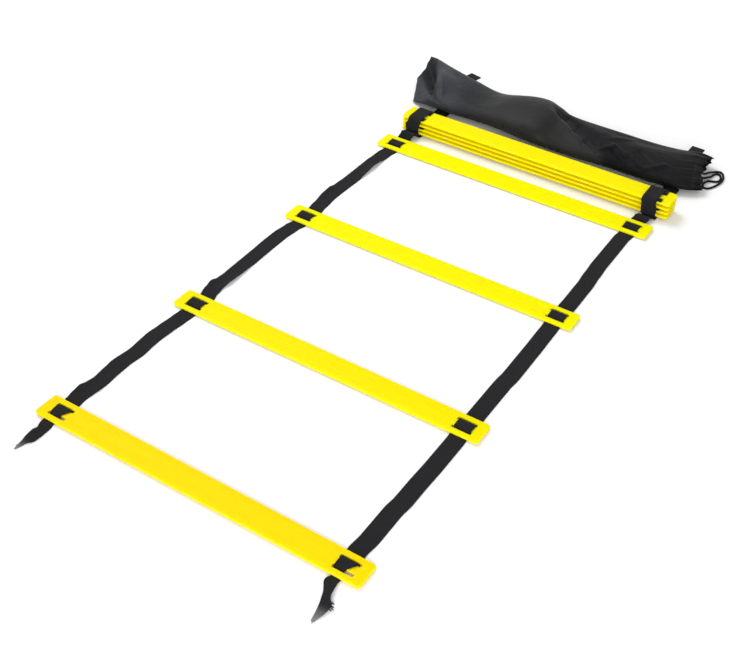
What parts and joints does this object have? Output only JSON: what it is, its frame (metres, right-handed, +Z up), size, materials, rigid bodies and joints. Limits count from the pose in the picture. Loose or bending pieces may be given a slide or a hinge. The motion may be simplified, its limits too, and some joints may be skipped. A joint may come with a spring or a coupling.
{
  "type": "agility ladder",
  "caption": "Flat-runged agility ladder on two webbing straps, part laid out and part stacked, with its empty drawstring carry bag.",
  "frame": {"origin": "centre of the solid pieces' bounding box, on the floor plane", "axes": "+X along the rungs, +Y along the straps from the loose tails to the stack and bag, +Z up"},
  "size_m": [0.6135, 1.176, 0.0511],
  "materials": {
    "rung_plastic": "semi-gloss moulded plastic",
    "strap_webbing": "woven polypropylene webbing",
    "bag_nylon": "coated nylon cloth",
    "bag_webbing": "woven tape",
    "drawstring_cord": "braided cord"
  },
  "bodies": {
    "stack": {"rung_5": "rung_plastic", "rung_6": "rung_plastic", "rung_7": "rung_plastic", "rung_8": "rung_plastic", "strap_stack_left": "strap_webbing", "strap_stack_right": "strap_webbing"},
    "section_4": {"strap_4_front_left": "strap_webbing", "strap_4_front_right": "strap_webbing", "strap_4_rear_left": "strap_webbing", "strap_4_rear_right": "strap_webbing"},
    "laid_rung_4": {"rung_4": "rung_plastic", "saddle_4_left": "strap_webbing", "saddle_4_right": "strap_webbing"},
    "section_3": {"strap_3_front_left": "strap_webbing", "strap_3_front_right": "strap_webbing", "strap_3_rear_left": "strap_webbing", "strap_3_rear_right": "strap_webbing"},
    "laid_rung_3": {"rung_3": "rung_plastic", "saddle_3_left": "strap_webbing", "saddle_3_right": "strap_webbing"},
    "section_2": {"strap_2_front_left": "strap_webbing", "strap_2_front_right": "strap_webbing", "strap_2_rear_left": "strap_webbing", "strap_2_rear_right": "strap_webbing"},
    "laid_rung_2": {"rung_2": "rung_plastic", "saddle_2_left": "strap_webbing", "saddle_2_right": "strap_webbing"},
    "section_1": {"strap_1_rear_left": "strap_webbing", "strap_1_rear_right": "strap_webbing", "strap_tail_left": "strap_webbing", "strap_tail_right": "strap_webbing"},
    "laid_rung_1": {"rung_1": "rung_plastic", "saddle_1_left": "strap_webbing", "saddle_1_right": "strap_webbing"},
    "bag": {"bag_drawstring": "drawstring_cord", "bag_mouth_hem": "bag_nylon", "bag_shell": "bag_nylon", "bag_tab_left": "bag_webbing", "bag_tab_right": "bag_webbing"}
  },
  "joints": [
    {"name": "fold_4", "type": "hinge", "parent": "stack", "child": "section_4", "pos_m": [0.0216, 0.33863, 0.0215], "axis": [-1, 0, 0], "range_deg": [0, 179]},
    {"name": "rung_4_slide", "type": "slide", "parent": "section_4", "child": "laid_rung_4", "axis": [0, 1, 0], "range_m": [-0.065, 0.006], "deforming": ["strap_4_front_left", "strap_4_front_right", "strap_4_rear_left", "strap_4_rear_right"]},
    {"name": "fold_3", "type": "hinge", "parent": "section_4", "child": "section_3", "pos_m": [0.0216, 0.16912, -0.00015], "axis": [-1, 0, 0], "range_deg": [-179, 0]},
    {"name": "rung_3_slide", "type": "slide", "parent": "section_3", "child": "laid_rung_3", "axis": [0, 1, 0], "range_m": [-0.065, 0.065], "deforming": ["strap_3_front_left", "strap_3_front_right", "strap_3_rear_left", "strap_3_rear_right"]},
    {"name": "fold_2", "type": "hinge", "parent": "section_3", "child": "section_2", "pos_m": [0.0216, -0.10088, 0.00775], "axis": [-1, 0, 0], "range_deg": [0, 179]},
    {"name": "rung_2_slide", "type": "slide", "parent": "section_2", "child": "laid_rung_2", "axis": [0, 1, 0], "range_m": [-0.065, 0.065], "deforming": ["strap_2_front_left", "strap_2_front_right", "strap_2_rear_left", "strap_2_rear_right"]},
    {"name": "fold_1", "type": "hinge", "parent": "section_2", "child": "section_1", "pos_m": [0.0216, -0.37088, -0.00015], "axis": [-1, 0, 0], "range_deg": [-179, 0]},
    {"name": "rung_1_slide", "type": "slide", "parent": "section_1", "child": "laid_rung_1", "axis": [0, 1, 0], "range_m": [-0.035, 0.065], "deforming": ["strap_1_rear_left", "strap_1_rear_right", "strap_tail_left", "strap_tail_right"]},
    {"name": "bag_slide", "type": "slide", "parent": "stack", "child": "bag", "axis": [0, 1, 0], "range_m": [0, 0.25]}
  ],
  "couplings": [
    {"joint": "fold_3", "follows": "fold_4", "ratio": -1},
    {"joint": "fold_2", "follows": "fold_4", "ratio": 1},
    {"joint": "fold_1", "follows": "fold_4", "ratio": -1}
  ]
}
